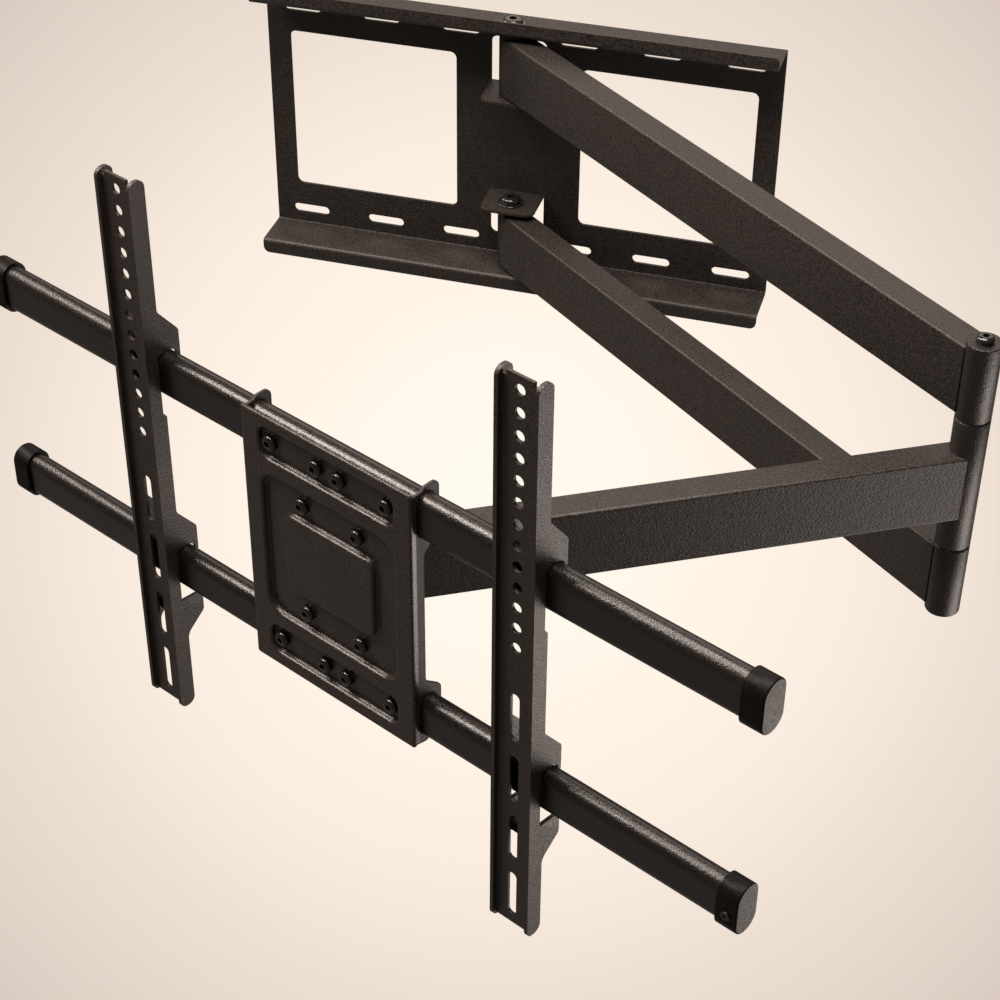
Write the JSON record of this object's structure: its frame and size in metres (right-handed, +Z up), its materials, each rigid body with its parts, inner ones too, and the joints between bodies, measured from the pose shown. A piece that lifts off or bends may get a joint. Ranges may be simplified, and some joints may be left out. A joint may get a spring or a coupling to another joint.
{
  "type": "swivel tv wall mount",
  "caption": "Full-motion wall mount: folded wall plate, twin rear arms, single front arm, tilting face plate, flat-oval rails and sliding hooked screen brackets.",
  "frame": {"origin": "centre of the wall plate's back face", "axes": "+X to the right along the wall, +Y into the wall, +Z up"},
  "size_m": [0.7276, 0.8178, 0.4558],
  "materials": {
    "powder_coat": "textured powder coat",
    "nylon": "matte",
    "cap_plastic": "grained",
    "black_screw": "gloss"
  },
  "bodies": {
    "wall": {"wall_plate": "powder_coat", "upper_pivot_bolt": "black_screw", "upper_pivot_washer": "black_screw", "upper_pivot_nut": "black_screw", "lower_pivot_bolt": "black_screw", "lower_pivot_washer": "black_screw", "lower_pivot_nut": "black_screw"},
    "rear_arm": {"upper_rear_tube": "powder_coat", "upper_wall_barrel": "powder_coat", "upper_wall_rings": "nylon", "upper_elbow_barrel": "powder_coat", "lower_rear_tube": "powder_coat", "lower_wall_barrel": "powder_coat", "lower_wall_rings": "nylon", "lower_elbow_barrel": "powder_coat", "elbow_pin": "black_screw", "elbow_screw": "black_screw", "elbow_cap": "powder_coat"},
    "front_arm": {"front_tube": "powder_coat", "elbow_middle_barrel": "powder_coat", "elbow_rings": "nylon", "head_barrel": "powder_coat", "head_rings": "nylon"},
    "swivel_head": {"yoke": "powder_coat", "swivel_bolt": "black_screw", "swivel_nut": "black_screw", "tilt_bolt": "black_screw", "tilt_nut": "black_screw"},
    "tilt_head": {"face_plate": "powder_coat", "tilt_bracket": "powder_coat", "face_bolts": "black_screw", "upper_rail": "powder_coat", "lower_rail": "powder_coat", "cap_screws": "black_screw", "upper_left_end_cap": "cap_plastic", "upper_right_end_cap": "cap_plastic", "lower_left_end_cap": "cap_plastic", "lower_right_end_cap": "cap_plastic"},
    "left_carrier": {"left_bracket": "powder_coat", "left_lock_block": "powder_coat", "left_lock_screw": "black_screw"},
    "right_carrier": {"right_bracket": "powder_coat", "right_lock_block": "powder_coat", "right_lock_screw": "black_screw"}
  },
  "joints": [
    {"name": "wall_swivel", "type": "hinge", "parent": "wall", "child": "rear_arm", "pos_m": [0, -0.024, 0], "axis": [0, 0, 1], "range_deg": [-30, 25]},
    {"name": "elbow_swivel", "type": "hinge", "parent": "rear_arm", "child": "front_arm", "pos_m": [0.45334, -0.41091, -0.002], "axis": [0, 0, 1], "range_deg": [-20, 80]},
    {"name": "head_swivel", "type": "hinge", "parent": "front_arm", "child": "swivel_head", "pos_m": [0.07903, -0.62519, -0.002], "axis": [0, 0, 1], "range_deg": [-45, 45]},
    {"name": "head_tilt", "type": "hinge", "parent": "swivel_head", "child": "tilt_head", "pos_m": [0.06541, -0.65415, -0.002], "axis": [0.9048, -0.4258, 0], "range_deg": [-8, 12]},
    {"name": "left_slide", "type": "slide", "parent": "tilt_head", "child": "left_carrier", "axis": [0.9048, -0.4258, 0], "range_m": [-0.12, 0.08]},
    {"name": "right_slide", "type": "slide", "parent": "tilt_head", "child": "right_carrier", "axis": [0.9048, -0.4258, 0], "range_m": [-0.065, 0.135]}
  ]
}
